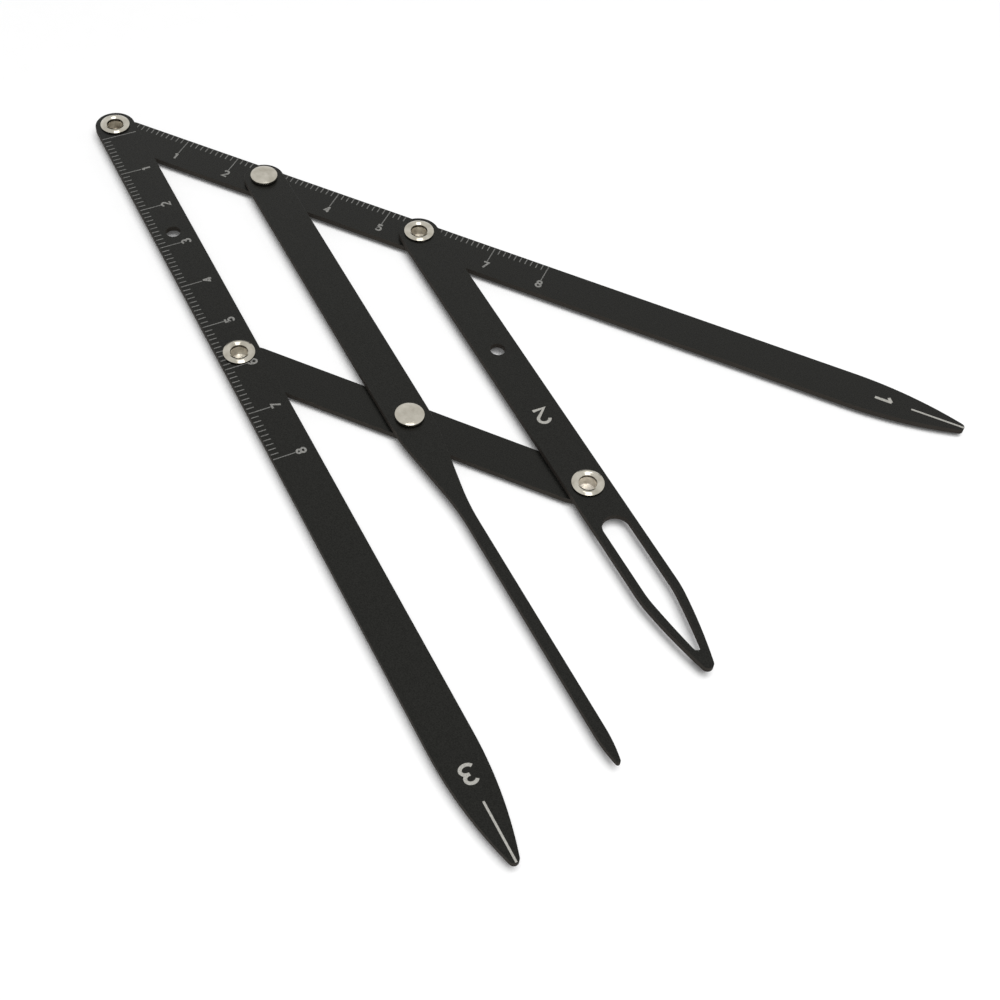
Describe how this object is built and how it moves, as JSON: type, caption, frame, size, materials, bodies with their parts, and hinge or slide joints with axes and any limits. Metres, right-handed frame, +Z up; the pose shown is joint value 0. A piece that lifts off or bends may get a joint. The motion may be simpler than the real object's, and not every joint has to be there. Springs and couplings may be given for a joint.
{
  "type": "golden ratio caliper",
  "caption": "Flat riveted parallelogram caliper whose aligned tips keep the golden ratio as the legs open, with centimetre scales along the outer legs.",
  "frame": {"origin": "centre of the apex rivet's flat head, on the surface that the tool rests on", "axes": "+X along leg 3 and the arms parallel to it, +Y towards leg 1, +Z up through the rivets"},
  "size_m": [0.1605, 0.1046, 0.0039],
  "materials": {
    "black_plate": "satin black coating on steel sheet",
    "nickel_rivet": "bright nickel plating"
  },
  "bodies": {
    "leg_3": {"leg_3": "black_plate", "apex_rivet": "nickel_rivet", "leg_3_lower_rivet": "nickel_rivet"},
    "leg_1": {"leg_1": "black_plate"},
    "center_pointer": {"center_pointer": "black_plate", "pointer_upper_rivet": "nickel_rivet", "pointer_lower_rivet": "nickel_rivet"},
    "leg_2": {"leg_2": "black_plate", "leg_2_upper_rivet": "nickel_rivet", "leg_2_lower_rivet": "nickel_rivet"},
    "cross_link": {"cross_link": "black_plate"}
  },
  "joints": [
    {"name": "leg_1_swing", "type": "hinge", "parent": "leg_3", "child": "leg_1", "pos_m": [0, 0, 0.00198], "axis": [0, 0, 1], "range_deg": [-26, 126]},
    {"name": "pointer_swing", "type": "hinge", "parent": "leg_1", "child": "center_pointer", "pos_m": [0.02298, 0.01928, 0.00198], "axis": [0, 0, 1], "range_deg": [-126, 26]},
    {"name": "leg_2_swing", "type": "hinge", "parent": "leg_1", "child": "leg_2", "pos_m": [0.04596, 0.03857, 0.00198], "axis": [0, 0, 1], "range_deg": [-126, 26]},
    {"name": "cross_link_swing", "type": "hinge", "parent": "leg_3", "child": "cross_link", "pos_m": [0.0604, 0, 0.00198], "axis": [0, 0, 1], "range_deg": [-26, 126]}
  ],
  "couplings": [
    {"joint": "pointer_swing", "follows": "leg_1_swing", "ratio": -1},
    {"joint": "leg_2_swing", "follows": "leg_1_swing", "ratio": -1},
    {"joint": "cross_link_swing", "follows": "leg_1_swing", "ratio": 1}
  ]
}
